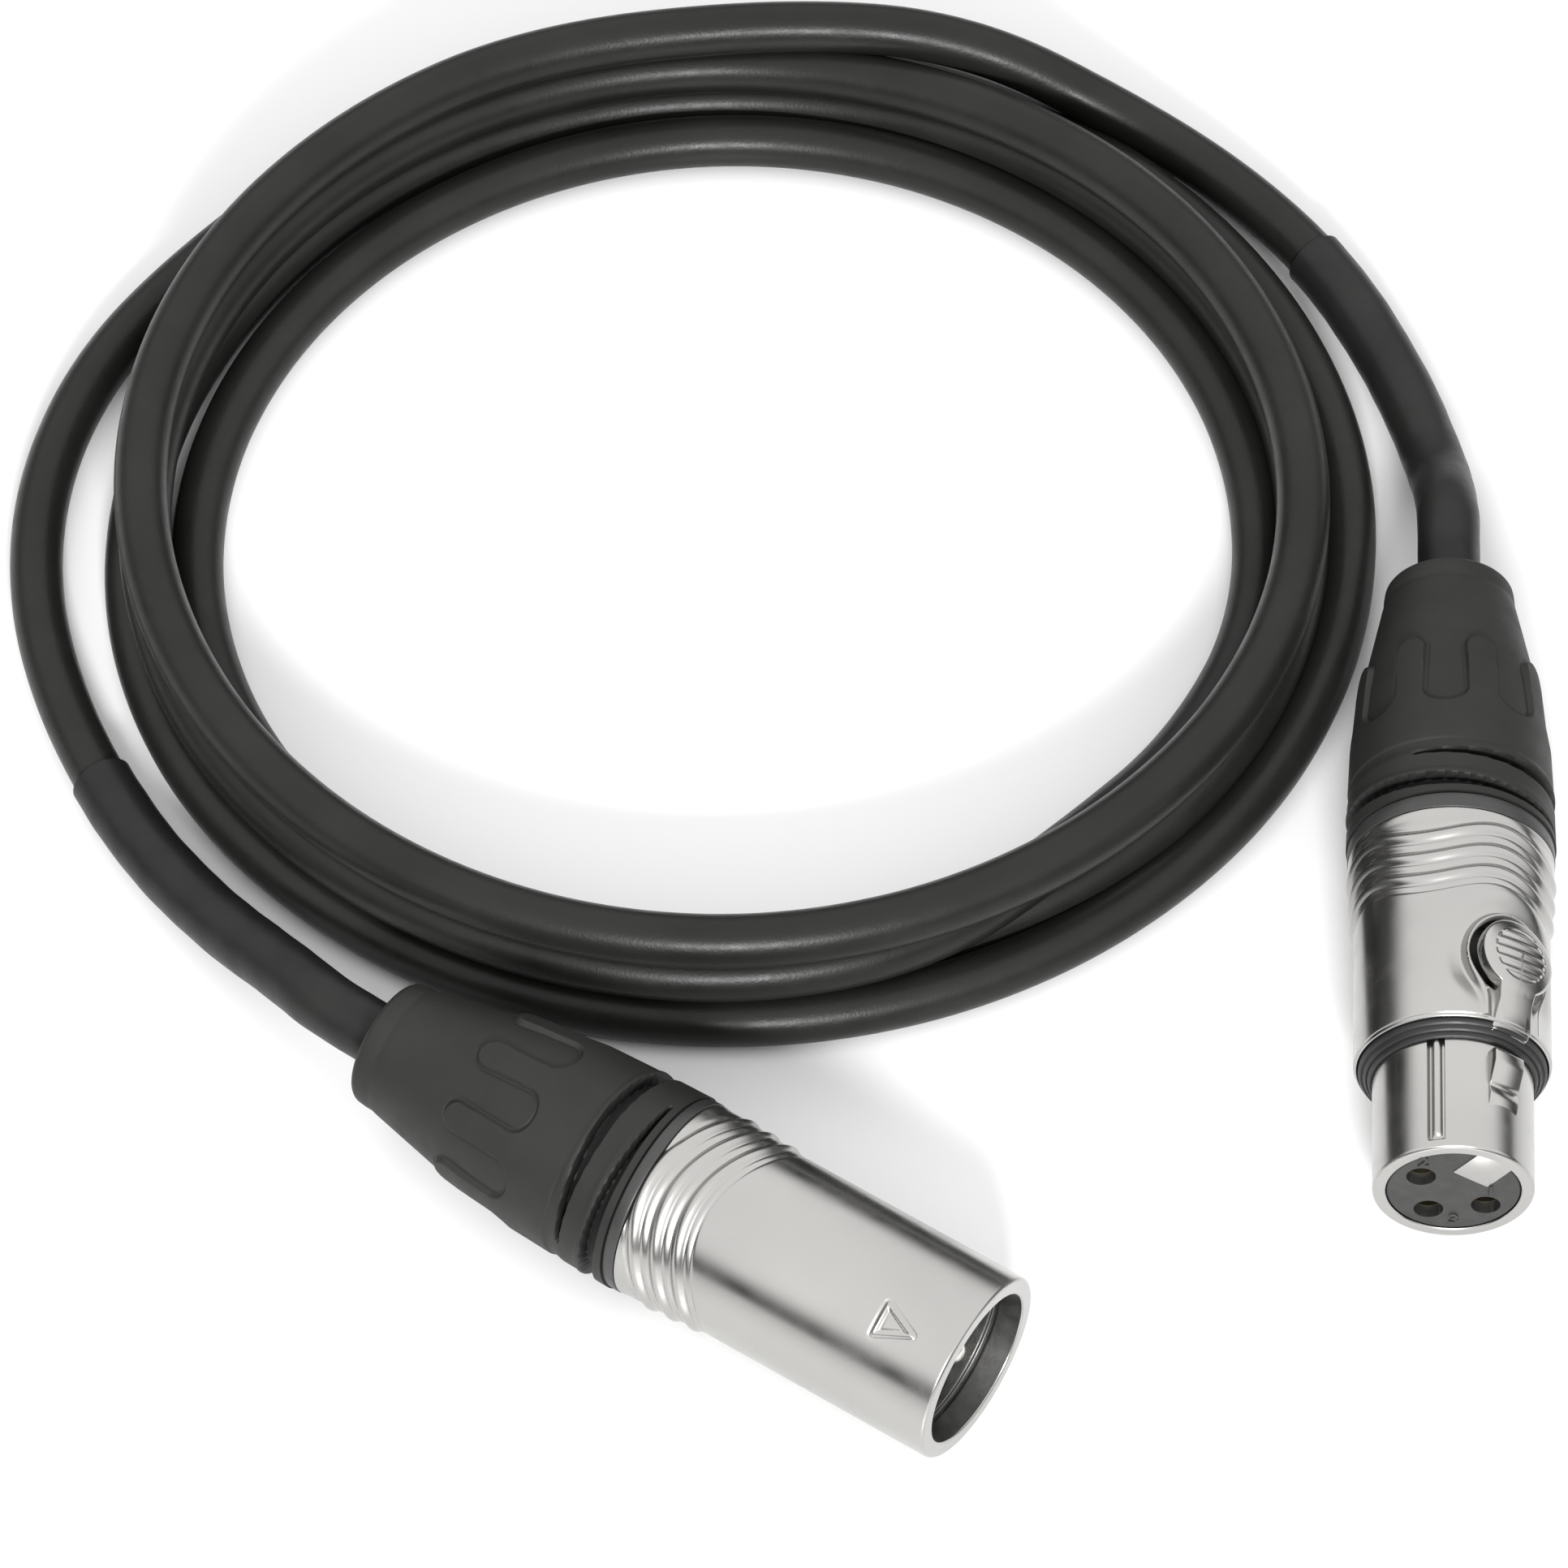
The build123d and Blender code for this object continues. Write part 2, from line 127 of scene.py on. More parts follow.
# How the coil lies: degrees round it, radius and height of the cord's middle
LAY = [
    (90, 61.6, 13.7),
    (110, 60.9, 13.75),
    (165, 60.8, 13.6),
    (215, 59.3, 13.5),
    (270, 58.3, 13.7),
    (305, 58.1, 13.5),
    (330, 58.6, 12.9),
    (360, 59.2, 11.4),
    (395, 59.0, 11.2),
    (425, 58.7, 10.5),
    (450, 60.2, 8.3),
    (490, 60.7, 8.2),
    (540, 60.25, 8.0),
    (575, 59.8, 7.9),
    (600, 58.85, 8.1),
    (630, 58.5, 8.2),
    (651, 57.7, 8.3),
    (663, 55.6, 8.9),
    (674, 53.4, 7.3),
    (687, 53.3, 4.1),
    (700, 54.4, 2.8),
    (735, 55.0, 2.75),
    (780, 54.9, 2.75),
    (850, 54.35, 2.75),
    (930, 55.3, 2.75),
    (970, 54.5, 2.75),
    (1012, 54.7, 2.75),
    (1024, 55.6, 2.9),
    (1034, 57.3, 4.9),
    (1045, 58.4, 6.5),
    (1060, 58.9, 6.3),
    (1090, 59.5, 5.6),
    (1130, 59.5, 5.3),
    (1165, 60.2, 2.9),
    (1200, 60.7, 2.75),
    (1235, 61.0, 2.75),
    (1280, 62.3, 2.75),
    (1320, 60.6, 2.75),
    (1350, 60.05, 2.75),
    (1380, 60.7, 2.75),
    (1420, 63.25, 2.75),
    (1450, 64.9, 2.75),
    (1485, 65.3, 2.75),
    (1515, 65.9, 2.75),
    (1540, 66.2, 2.75),
    (1555, 66.1, 2.75),
]
COIL_STEP = 20
COIL_START = 110


# Places and meshes

def connector_matrix(position, heading):
    """Local millimetres to the scene: x to the side, y up, z ahead along the axis."""
    turn = radians(heading)
    side = Vector((-sin(turn), cos(turn), 0))
    ahead = Vector((cos(turn), sin(turn), 0))
    axes = Matrix((side, Vector((0, 0, 1)), ahead)).transposed().to_4x4()
    return Matrix.Translation(Vector(position) * MM) @ axes @ Matrix.Scale(MM, 4)


FEMALE = connector_matrix(FEMALE_POSITION, FEMALE_HEADING)
MALE = connector_matrix(MALE_POSITION, MALE_HEADING)


def smooth(value):
    """0 below 0, 1 above 1, and an S between."""
    held = np.clip(value, 0, 1)
    return held * held * (3 - 2 * held)


def bump(distance, width):
    """A soft ridge of height 1 about distance 0."""
    return np.exp(-((distance / width) ** 2))


def wrapped(angle):
    """Degrees brought between -180 and 180."""
    return (np.asarray(angle) + 180) % 360 - 180


def rounded(points, radius, steps=3):
    """An open outline with each inner corner cut by a small curve."""
    points = [np.array(point, float) for point in points]
    result = [points[0]]
    for before, corner, after in zip(points, points[1:], points[2:]):
        back, on = before - corner, after - corner
        reach = min(radius, 0.4 * np.linalg.norm(back), 0.4 * np.linalg.norm(on))
        start = corner + back / np.linalg.norm(back) * reach
        end = corner + on / np.linalg.norm(on) * reach
        for share in np.linspace(0, 1, steps + 1):
            low = start + (corner - start) * share
            result.append(low + (corner + (end - corner) * share - low) * share)
    return result + [points[-1]]


def divided(points, spacing):
    """An outline with no piece longer than the spacing."""
    result = [np.array(points[0], float)]
    for start, end in zip(points, points[1:]):
        start, end = np.array(start, float), np.array(end, float)
        count = max(1, int(np.ceil(np.linalg.norm(end - start) / spacing)))
        result += [start + (end - start) * i / count for i in range(1, count + 1)]
    return result


def make_piece(name, vertices, faces, place, material, body, sharp=35):
    """A smooth-shaded mesh from local millimetres, riding on a body."""
    mesh = bpy.data.meshes.new(name)
    mesh.from_pydata([place @ Vector(v) for v in vertices], [], faces)
    mesh.validate()
    mesh.shade_smooth()
    mesh.set_sharp_from_angle(angle=radians(sharp))
    piece = bpy.data.objects.new(name, mesh)
    bpy.context.scene.collection.objects.link(piece)
    mesh.materials.append(material)
    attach(piece, body)
    return piece


def turned(outline, sides, relief=None, closed=True):
    """Vertices and faces of an outline of (radius, height) points turned about the axis."""
    profile = np.array(outline, float)
    angles = np.linspace(0, 360, sides, endpoint=False)
    radius = np.repeat(profile[:, :1], sides, axis=1)
    height = np.repeat(profile[:, 1:2], sides, axis=1)
    angle = np.repeat(angles[None, :], len(profile), axis=0)
    if relief:
        radius = radius + relief(angle, radius, height)
    turn = np.radians(angle)
    vertices = np.stack([radius * np.cos(turn), radius * np.sin(turn), height], -1)
    return vertices.reshape(-1, 3), band_faces(len(profile), sides, closed)


def band_faces(rows, sides, ring=False):
    """Quads between rows of vertices, and back from the last row to the first if a ring."""
    faces = []
    for row in range(rows if ring else rows - 1):
        here, there = row * sides, (row + 1) % rows * sides
        for i in range(sides):
            j = (i + 1) % sides
            faces.append((here + i, here + j, there + j, there + i))
    return faces


def capped_faces(count):
    """The faces of a solid between two matching outlines."""
    return [tuple(range(count))[::-1], tuple(range(count, 2 * count)), *band_faces(2, count)]


def prism(outline, half_width, angle):
    """A solid between two copies of an outline of (distance from axis, height) points."""
    turn = radians(angle)
    out, side = Vector((cos(turn), sin(turn), 0)), Vector((-sin(turn), cos(turn), 0))
    count = len(outline)
    vertices = []
    for across in (-half_width, half_width):
        vertices += [out * r + side * across + Vector((0, 0, z)) for r, z in outline]
    return vertices, capped_faces(count)


def block(near, far, low, high):
    """A rectangle between two distances from the axis and two heights."""
    return [(near, low), (far, low), (far, high), (near, high)]


def cutter(vertices, faces, place):
    """A solid that is only used to carve others."""
    mesh = bpy.data.meshes.new("cutter")
    mesh.from_pydata([place @ Vector(v) for v in vertices], [], faces)
    tool = bpy.data.objects.new("cutter", mesh)
    bpy.context.scene.collection.objects.link(tool)
    return tool


def pillar(radius, low, high, centre, place, sides=48):
    """A round cutter along the axis at a centre (x, y)."""
    ring = [(radius * cos(2 * pi * i / sides) + centre[0],
             radius * sin(2 * pi * i / sides) + centre[1]) for i in range(sides)]
    vertices = [(x, y, low) for x, y in ring] + [(x, y, high) for x, y in ring]
    return cutter(vertices, capped_faces(sides), place)


def at_angle(radius, angle):
    return radius * cos(radians(angle)), radius * sin(radians(angle))


def carve(piece, tools, bevel=0.0, sharp=35, tolerant=False):
    """Cut the tools from a piece, and break the edges this leaves."""
    for tool in tools:
        cut = piece.modifiers.new("cut", "BOOLEAN")
        cut.operation = "DIFFERENCE"
        cut.solver = "EXACT"
        cut.use_hole_tolerant = tolerant
        cut.object = tool
    if bevel:
        edge = piece.modifiers.new("edge", "BEVEL")
        edge.width = bevel * MM
        edge.segments = 2
        edge.limit_method = "ANGLE"
        edge.angle_limit = radians(40)
    graph = bpy.context.evaluated_depsgraph_get()
    mesh = bpy.data.meshes.new_from_object(piece.evaluated_get(graph))
    piece.modifiers.clear()
    piece.data = mesh
    mesh.shade_smooth()
    mesh.set_sharp_from_angle(angle=radians(sharp))
    for tool in tools:
        bpy.data.objects.remove(tool)


# Materials

def new_material(name):
    """A material with its shader, and a function that adds and links nodes."""
    material = bpy.data.materials.new(name)
    material.use_nodes = True
    nodes, links = material.node_tree.nodes, material.node_tree.links
    shader = nodes["Principled BSDF"]
    place = nodes.new("ShaderNodeTexCoord").outputs["Object"]
    return material, nodes, links, shader, place


def noise(nodes, links, place, scale, detail=3.0, stretch=None):
    """Noise in object space, at a scale in waves per metre."""
    texture = nodes.new("ShaderNodeTexNoise")
    texture.inputs["Scale"].default_value = scale
    texture.inputs["Detail"].default_value = detail
    if stretch:
        mapping = nodes.new("ShaderNodeMapping")
        mapping.inputs["Scale"].default_value = stretch
        links.new(place, mapping.inputs["Vector"])
        place = mapping.outputs["Vector"]
    links.new(place, texture.inputs["Vector"])
    return texture.outputs["Fac"]


def spread(nodes, links, value, low, high, start=0.3, end=0.7):
    """Map a noise value to a range."""
    span = nodes.new("ShaderNodeMapRange")
    span.inputs["From Min"].default_value = start
    span.inputs["From Max"].default_value = end
    span.inputs["To Min"].default_value = low
    span.inputs["To Max"].default_value = high
    links.new(value, span.inputs["Value"])
    return span.outputs["Result"]


def tint(nodes, links, value, dark, light):
    """Blend two colours by a noise value."""
    ramp = nodes.new("ShaderNodeValToRGB")
    ramp.color_ramp.elements[0].position = 0.3
    ramp.color_ramp.elements[1].position = 0.7
    ramp.color_ramp.elements[0].color = (*dark, 1)
    ramp.color_ramp.elements[1].color = (*light, 1)
    links.new(value, ramp.inputs["Fac"])
    return ramp.outputs["Color"]


def emboss(nodes, links, shader, layers):
    """Chain bumps: each layer is (height, strength, distance in mm)."""
    normal = None
    for height, strength, distance in layers:
        node = nodes.new("ShaderNodeBump")
        node.inputs["Strength"].default_value = strength
        node.inputs["Distance"].default_value = distance * MM
        links.new(height, node.inputs["Height"])
        if normal:
            links.new(normal, node.inputs["Normal"])
        normal = node.outputs["Normal"]
    links.new(normal, shader.inputs["Normal"])


def surface(name, dark, light, rough, grain, mottle=60, metallic=0.0, scuffs=None):
    """A finish with mottled colour, uneven gloss, a fine grain and, if asked, scuffs.

    rough is the range of roughness, and grain is (waves per metre, strength, depth in mm).
    """
    material, nodes, links, shader, place = new_material(name)
    cloud = noise(nodes, links, place, mottle, 4)
    links.new(tint(nodes, links, cloud, dark, light), shader.inputs["Base Color"])
    speck = noise(nodes, links, place, grain[0], 2)
    gloss = noise(nodes, links, place, mottle * 5, 5)
    links.new(spread(nodes, links, gloss, *rough), shader.inputs["Roughness"])
    layers = [(speck, grain[1], grain[2])]
    if scuffs:
        scratch = noise(nodes, links, place, scuffs[0], 2, scuffs[1])
        layers.append((scratch, scuffs[2], 0.02))
    emboss(nodes, links, shader, layers)
    shader.inputs["Metallic"].default_value = metallic
    return material, shader


def jacket_material():
    material, shader = surface(
        "jacket_pvc", (0.009, 0.009, 0.0082), (0.013, 0.013, 0.012), (0.32, 0.42),
        (3000, 0.5, 0.04), 90,
    )
    shader.inputs["Specular IOR Level"].default_value = 0.2
    return material


def sleeve_material():
    material, shader = surface(
        "shrink_sleeve", (0.008, 0.008, 0.008), (0.013, 0.013, 0.0125), (0.36, 0.46),
        (2600, 0.3, 0.03), 120,
    )
    shader.inputs["Specular IOR Level"].default_value = 0.22
    return material


def boot_material():
    material, shader = surface(
        "boot_elastomer", (0.012, 0.012, 0.0112), (0.018, 0.018, 0.0168), (0.5, 0.62),
        (4200, 0.35, 0.035), 70,
    )
    shader.inputs["Specular IOR Level"].default_value = 0.25
    nodes, links = material.node_tree.nodes, material.node_tree.links
    # Painted shade: inside the slit the slit's mask mixes the base colour to near black (0.0015)
    slit_shade = nodes.new("ShaderNodeAttribute")
    slit_shade.attribute_name = "slit_shade"
    mix = nodes.new("ShaderNodeMix")
    mix.data_type = "RGBA"
    colour = shader.inputs["Base Color"].links[0].from_socket
    links.new(slit_shade.outputs["Fac"], mix.inputs["Factor"])
    links.new(colour, mix.inputs["A"])
    mix.inputs["B"].default_value = (0.0015, 0.0015, 0.0015, 1)
    links.new(mix.outputs["Result"], shader.inputs["Base Color"])
    return material


def nickel_material(name="nickel", rough=(0.2, 0.3)):
    material, shader = surface(
        name, (0.385, 0.38, 0.37), (0.43, 0.425, 0.412), rough,
        (5200, 0.07, 0.012), 45, 1.0, (2600, (1.0, 1.0, 0.4), 0.02),
    )
    return material


def shaded_bore_material():
    """Rougher metal inside the mouth, with a darker colour that is painted shade."""
    return surface(
        "nickel_bore_shade", (0.13, 0.13, 0.125), (0.2, 0.2, 0.195), (0.4, 0.52),
        (3600, 0.5, 0.04), 160, 1.0,
    )[0]


def rubber_material():
    return surface(
        "seal_rubber", (0.006, 0.006, 0.006), (0.010, 0.010, 0.010), (0.42, 0.56),
        (3600, 0.3, 0.03), 150,
    )[0]


def insert_material():
    return surface(
        "insert_plastic", (0.013, 0.013, 0.0125), (0.020, 0.020, 0.019), (0.45, 0.6),
        (3000, 0.6, 0.05), 160,
    )[0]


def hard_plastic_material():
    return surface(
        "nut_plastic", (0.018, 0.018, 0.018), (0.03, 0.03, 0.029), (0.35, 0.5),
        (3600, 0.25, 0.03), 110,
    )[0]


def contact_material():
    return surface(
        "contact_metal", (0.30, 0.27, 0.20), (0.46, 0.42, 0.33), (0.28, 0.4),
        (4200, 0.15, 0.02), 200, 1.0,
    )[0]


def pin_material():
    return surface(
        "pin_metal", (0.62, 0.60, 0.56), (0.74, 0.72, 0.68), (0.16, 0.26),
        (4200, 0.1, 0.02), 200, 1.0,
    )[0]


def spring_material():
    return surface(
        "spring_metal", (0.42, 0.42, 0.43), (0.55, 0.55, 0.56), (0.25, 0.38),
        (3000, 0.15, 0.02), 140, 1.0, (1400, (1.0, 1.0, 8.0), 0.1),
    )[0]


def wire_material(name, dark, light, metallic=0.0):
    return surface(name, dark, light, (0.35, 0.5), (2800, 0.3, 0.04), 260, metallic)[0]


def floor_material():
    material, nodes, links, shader, place = new_material("studio_floor")
    cloud = noise(nodes, links, place, 8, 2)
    links.new(tint(nodes, links, cloud, (0.72, 0.72, 0.72), (0.74, 0.74, 0.74)),
              shader.inputs["Base Color"])
    shader.inputs["Roughness"].default_value = 0.3
    shader.inputs["Specular IOR Level"].default_value = 0.35
    return material


# Cord

def axis_point(place, height):
    return place @ Vector((0, 0, height)) / MM


def lay_at(angle):
    """Radius and height of the coil's cord at an angle, smooth through the lay's points."""
    rows = np.array(LAY, float)
    i = min(np.searchsorted(rows[:, 0], angle, side="right") - 1, len(rows) - 2)
    span = rows[i + 1, 0] - rows[i, 0]
    share = (angle - rows[i, 0]) / span

    def slope(j):
        if j in (0, len(rows) - 1):
            return np.zeros(2)
        before, after = rows[j, 0] - rows[j - 1, 0], rows[j + 1, 0] - rows[j, 0]
        rise_in = (rows[j, 1:] - rows[j - 1, 1:]) / before
        rise_out = (rows[j + 1, 1:] - rows[j, 1:]) / after
        return (rise_in * after + rise_out * before) / (before + after)

    start, end = rows[i, 1:], rows[i + 1, 1:]
    return (
        (2 * share**3 - 3 * share**2 + 1) * start
        + (share**3 - 2 * share**2 + share) * slope(i) * span
        + (3 * share**2 - 2 * share**3) * end
        + (share**3 - share**2) * slope(i + 1) * span
    )


def coil_points():
    """Control points round the coil, outside the line by as much as the spline cuts in."""
    outside = 1 / cos(radians(COIL_STEP / 2))
    points = []
    for angle in range(COIL_START, LAY[-1][0], COIL_STEP):
        radius, height = lay_at(angle)
        points.append((*at_angle(radius * outside, angle), height))
    return points


def make_cord(material):
    points = [axis_point(FEMALE, z) for z in LEAD_RUN] + FEMALE_LEAD
    points += coil_points()
    points += MALE_LEAD[::-1] + [axis_point(MALE, z) for z in LEAD_RUN[::-1]]
    line = bpy.data.curves.new("cable", "CURVE")
    line.dimensions = "3D"
    line.resolution_u = 14
    line.bevel_depth = CABLE_R * MM
    line.bevel_resolution = 10
    spline = line.splines.new("NURBS")
    spline.points.add(len(points) - 1)
    for point, place in zip(spline.points, points):
        point.co = (*(Vector(place) * MM), 1)
    spline.order_u = 3
    spline.use_endpoint_u = True
    line.materials.append(material)
    cable = bpy.data.objects.new("cable", line)
    bpy.context.scene.collection.objects.link(cable)
    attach(cable, "root")
    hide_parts("cable_coil", "female_lead", "male_lead")
    return cable


def cord_line(cable):
    """The cord's middle line, in millimetres."""
    bare = cable.data.copy()
    bare.bevel_depth = 0
    holder = bpy.data.objects.new("line", bare)
    mesh = bpy.data.meshes.new_from_object(holder)
    line = np.array([v.co for v in mesh.vertices]) / MM
    bpy.data.objects.remove(holder)
    return line


def make_sleeve(name, line, start, end, material):
    """Heat-shrunk tube over the stretch of the cord between two points."""
    first = np.argmin(np.linalg.norm(line - np.array(start), axis=1))
    last = np.argmin(np.linalg.norm(line - np.array(end), axis=1))
    step = 1 if last > first else -1
    path = line[first : last + step : step]
    gaps = np.linalg.norm(np.diff(path, axis=0), axis=1)
    travel = np.concatenate([[0], np.cumsum(gaps)])
    stations = np.arange(0, travel[-1], 0.4)
    path = np.stack([np.interp(stations, travel, path[:, k]) for k in range(3)], -1)
    ahead = np.gradient(path, axis=0)
    ahead /= np.linalg.norm(ahead, axis=1)[:, None]
    side = np.cross(ahead, (0, 0, 1))
    side /= np.linalg.norm(side, axis=1)[:, None]
    over = np.cross(side, ahead)
    turn = np.linspace(0, 2 * pi, SLEEVE_SIDES, endpoint=False)
    rings = []

    def ring(i, radius):
        wave = 0.03 * np.sin(2 * turn + stations[i] * 0.35) * np.sin(stations[i] * 0.9)
        spokes = np.cos(turn)[:, None] * side[i] + np.sin(turn)[:, None] * over[i]
        rings.append(path[i] + (radius + wave)[:, None] * spokes)

    for i in range(len(path)):
        ring(i, np.full(SLEEVE_SIDES, SLEEVE_R))
    edge = len(path) - 1
    for inset, back in ((0.06, 0), (0.2, 0), (SLEEVE_WALL, 0), (SLEEVE_WALL, 6)):
        ring(edge - back, np.full(SLEEVE_SIDES, SLEEVE_R - inset))
    vertices = np.concatenate(rings)
    faces = band_faces(len(rings), SLEEVE_SIDES)
    sleeve = make_piece(name, vertices, faces, Matrix.Scale(MM, 4), material, "root")
    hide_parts(name)
    return sleeve


# Boots

FINGERS = 8
FINGER_TURN = 73.7
FINGER_HALF = 1.55
FINGER_TIP = -22.0
RECESS_END = -13.1
RECESS_ROUND = 1.9
SLIT_START = 115
SLIT_LAP = (0, 90, 180, 360, 470)
SLIT_Z = (-6.6, -6.5, -5.5, -3.2, -2.35)
SLIT_TAPER = (75, 95)
SLIT_DEPTH = 1.15
CREASES = ((-8.3, 60), (-0.95, 58))
CREASE_DEPTH = 0.2
CONE = [(-34, 6.2), (-31, 6.85), (-22, 8.7), (-18, 9.3), (-13, 9.8), (-8, 10.2), (-1, 10.4)]
LAND = [(-34, 6.2), (-24, 8.9), (-22, 9.25), (-19, 9.65), (-14, 10.1), (-8, 10.35), (-1, 10.5)]


def slit_laps(turn, angle):
    """For each lap of the boot's helical slit: degrees along it, its height and its taper."""
    run = (SLIT_START + turn - angle) % 360
    for lap in (run, run + 360):
        left = SLIT_LAP[-1] - lap
        taper = np.clip(np.minimum(lap / SLIT_TAPER[0], left / SLIT_TAPER[1]), 0, 1)
        yield lap, np.interp(lap, SLIT_LAP, SLIT_Z), taper


def slit_share(turn, angle, height):
    """1 in the slit and 0 outside it."""
    share = np.zeros(np.shape(angle))
    for lap, middle, taper in slit_laps(turn, angle):
        half = 0.1 + 0.58 * taper
        on = np.clip(lap / 2, 0, 1) * np.clip((SLIT_LAP[-1] - lap) / 2, 0, 1)
        share = np.maximum(share, on * smooth((half + 0.13 - np.abs(height - middle)) / 0.26))
    return share


def slit_lip(turn, angle, height):
    """The soft swelling along the slit's tail side."""
    lip = np.zeros(np.shape(angle))
    for _, middle, taper in slit_laps(turn, angle):
        lip = lip + taper * bump(height - middle + 1.05, 0.3)
    return lip


def boot_relief(turn):
    """The boot's grip fingers, its helical slit and the fading creases behind it."""
    def relief(angle, radius, height):
        outer = radius > np.interp(height, *zip(*CONE)) - 0.25
        pitch = 360 / FINGERS
        from_finger = (angle - turn - FINGER_TURN + pitch / 2) % pitch - pitch / 2
        arc = np.radians(np.abs(from_finger)) * radius
        half_pitch = np.radians(pitch / 2) * radius
        finger = FINGER_HALF - np.hypot(arc, np.minimum(height - FINGER_TIP - FINGER_HALF, 0))
        recess_half = half_pitch - FINGER_HALF
        past = np.maximum(height - RECESS_END + RECESS_ROUND, 0) * recess_half / RECESS_ROUND
        recess = np.hypot(half_pitch - arc, past) - recess_half
        inside = np.where(height < (FINGER_TIP + RECESS_END) / 2, finger, recess)
        step = np.interp(height, *zip(*LAND)) - np.interp(height, *zip(*CONE))
        change = step * smooth((inside + 0.1) / 0.28) - 0.09 * bump(inside + 0.22, 0.13)
        change = change + 0.1 * slit_lip(turn, angle, height)
        for z, end in CREASES:
            beyond = (angle - turn - end) % 360
            fade = smooth(beyond / 60) * smooth((250 - beyond) / 60)
            side = smooth((height - z) / 0.25) * smooth((z + 1.9 - height) / 1.3)
            change -= CREASE_DEPTH * fade * side
        change = change - SLIT_DEPTH * slit_share(turn, angle, height)
        return np.where(outer & (height > -33), change, 0)
    return relief


def make_boot(name, place, body, turn, material):
    """The soft boot, with a mask on its skin that paints shade into the slit."""
    outer = [(-33.4, 6.55), (-32.4, 6.68), (-31.5, 6.7)]
    skin = [(3.55, -31.0), (3.6, -33.75), (5.6, -34.0), (6.2, -33.85)]
    skin += [(r, z) for z, r in outer] + [(r, z) for z, r in CONE[1:-1]] + [(10.4, BOOT_END_Z)]
    body_line = divided(rounded(skin, 0.5), BOOT_SPACING)
    inner = [(9.12, BOOT_END_Z), (9.12, -13.0), (7.2, -17.2), (4.2, -19.0), (4.2, -31.0)]
    vertices, faces = turned(body_line + inner, BOOT_SIDES, boot_relief(turn))
    boot = make_piece(name + "_shape", vertices, faces, place, material, body, 50)
    angle = np.degrees(np.arctan2(vertices[:, 1], vertices[:, 0]))
    # Mask for the painted shade in the slit, on the boot's outer skin
    slit_shade = slit_share(turn, angle, vertices[:, 2]) * (np.hypot(*vertices[:, :2].T) < 10.1)
    shade = boot.data.attributes.new("slit_shade", "FLOAT", "POINT")
    shade.data.foreach_set("value", slit_shade.astype(np.float32))
    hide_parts(name)
    return boot


def make_nut(name, place, edge, body, material):
    """The gland nut: its collar closes the boot off against the shell."""
    outline = rounded([
        (8.95, -3.0), (8.95, edge - 0.08), (10.36, edge - 0.08), (10.38, -0.6),
        (10.3, BOOT_END_Z + 0.1), (9.09, BOOT_END_Z + 0.06), (9.09, -13.0), (7.1, -17.0),
        (5.2, -17.0), (7.95, -9.0), (8.95, -8.6),
    ], 0.15)
    vertices, faces = turned(outline, PLAIN_SIDES)
    nut = make_piece(name + "_shape", vertices, faces, place, material, body)
    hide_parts(name)
    return nut


# Shells

RING_PITCH = 2.42
RING_STEP = 0.15


def ring_relief(angle, height, first, waves, swing, low, edge):
    """Three waved rings stepping down to the shell's body, from the first one's mean height.

    Each is a rounded ridge between fine grooves, with a thin line after it.  The wave dips
    towards the boot at the angle low.
    """
    wave = -swing * np.cos(np.radians(waves * (angle - low)))
    change = 3 * RING_STEP + 0.1 * smooth((edge + 1.0 - height) / 0.8)
    for number in range(3):
        off = height - first - number * RING_PITCH - wave
        change = change + 0.24 * bump(off, 0.42) - 0.18 * bump(off - 0.8, 0.26)
        change = change - 0.18 * bump(off + 0.8, 0.26) - RING_STEP * smooth((off - 0.9) / 0.4)
    off = height - first - 3 * RING_PITCH - wave
    change = change - 0.1 * bump(off + 0.9, 0.16)
    return change


def dish_relief(angle, radius, height):
    """The raised rim that follows the latch's outline, and the hollow outside it."""
    across = np.radians(wrapped(angle - LATCH_ANGLE)) * radius
    ahead = height - BUTTON_Z
    round_part = np.hypot(across, ahead) - 5.05
    neck = np.abs(across) - 3.15 + np.where(ahead > 0, 0, 20)
    blend = np.clip(0.5 + 0.5 * (neck - round_part) / 1.6, 0, 1)
    edge = neck * (1 - blend) + round_part * blend - 1.6 * blend * (1 - blend)
    fade = smooth((7.5 - ahead) / 5)
    hollow = smooth(edge / 0.7) * smooth((3.0 - edge) / 2.4) * 0.75 * fade
    fall = 0.35 * smooth((-edge - 0.15) / 0.5)
    return 0.24 * bump(edge, 0.3) - hollow - fall


def keyway_relief(angle, radius, height):
    """A groove along the barrel with a rounded rib in it."""
    across = np.radians(wrapped(angle - KEYWAY_ANGLE)) * radius
    length = smooth((38.4 - height) / 0.5) * smooth((height - 25.4) / 0.3)
    groove = 0.5 * smooth((0.88 - np.abs(across)) / 0.12) * length
    rib = 0.46 * np.clip(1 - (across / 0.52) ** 2, 0, 1) ** 0.5
    return -groove + rib * smooth((38.0 - height) / 0.7) * length


def female_shell_relief(angle, radius, height):
    body = (radius > SHELL_R - 0.05) & (height < SHOULDER_Z - 0.4)
    barrel = (np.abs(radius - BARREL_R) < 0.02) & (height > SHOULDER_Z)
    rings = ring_relief(angle, height, 2.95, 4, 0.7, 62, FEMALE_EDGE_Z)
    change = np.where(body, rings + dish_relief(angle, radius, height), 0)
    return change + np.where(barrel, keyway_relief(angle, radius, height), 0)


